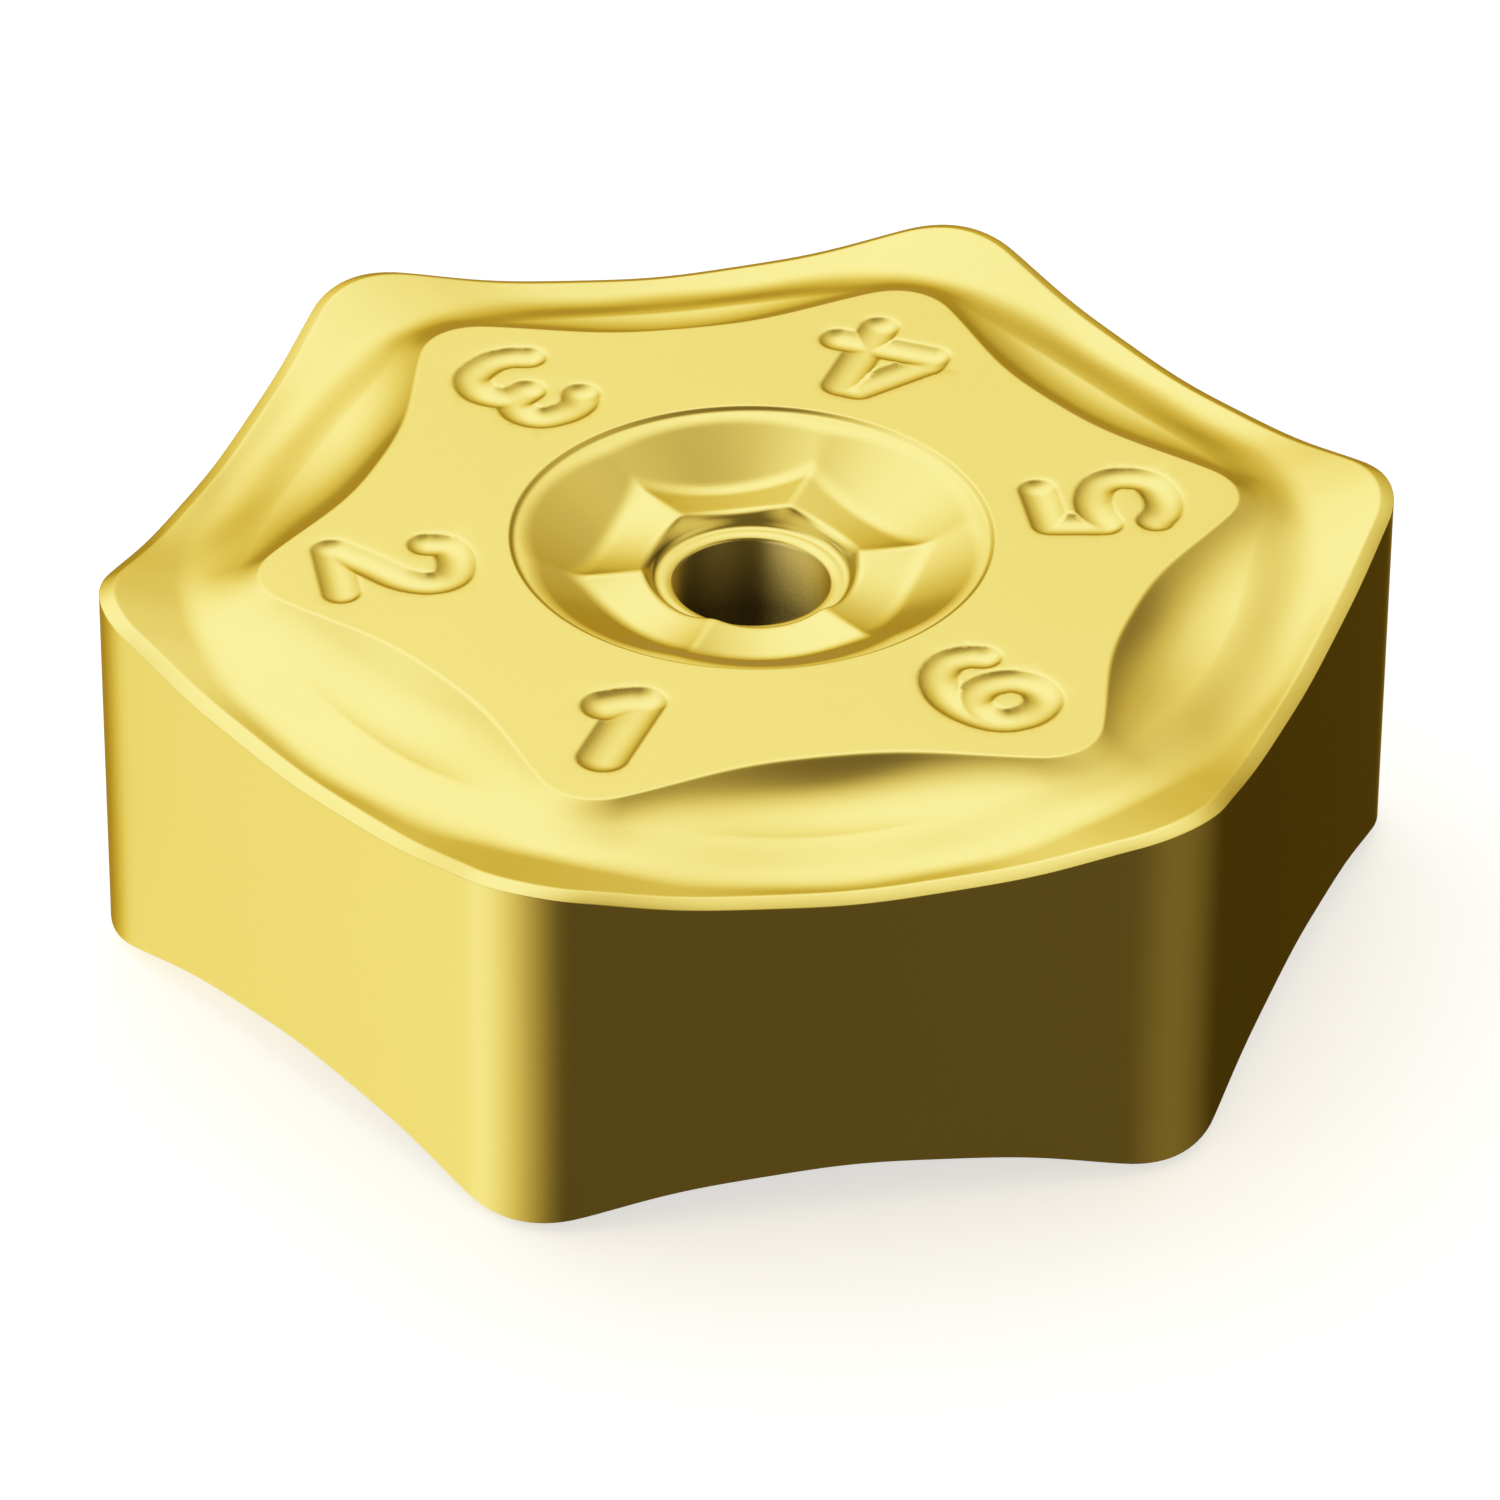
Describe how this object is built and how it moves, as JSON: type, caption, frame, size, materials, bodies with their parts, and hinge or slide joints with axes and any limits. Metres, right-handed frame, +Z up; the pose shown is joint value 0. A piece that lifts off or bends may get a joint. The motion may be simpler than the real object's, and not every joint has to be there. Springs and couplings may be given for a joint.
{
  "type": "carbide milling insert",
  "caption": "Double-sided hexagonal indexable milling insert with wavy cutting edges, chip grooves, lobed seat faces, a star-faceted countersink and a small bore.",
  "frame": {"origin": "centre of the lower seat face, on the axis of the bore", "axes": "+Z up through the bore to the upper seat face, +X to a corner, +Y square to a flank"},
  "size_m": [0.018, 0.016, 0.0056],
  "materials": {
    "coated_carbide": "satin gold-coloured hard coating on sintered carbide"
  },
  "bodies": {
    "root": {"insert_body": "coated_carbide"}
  },
  "joints": []
}
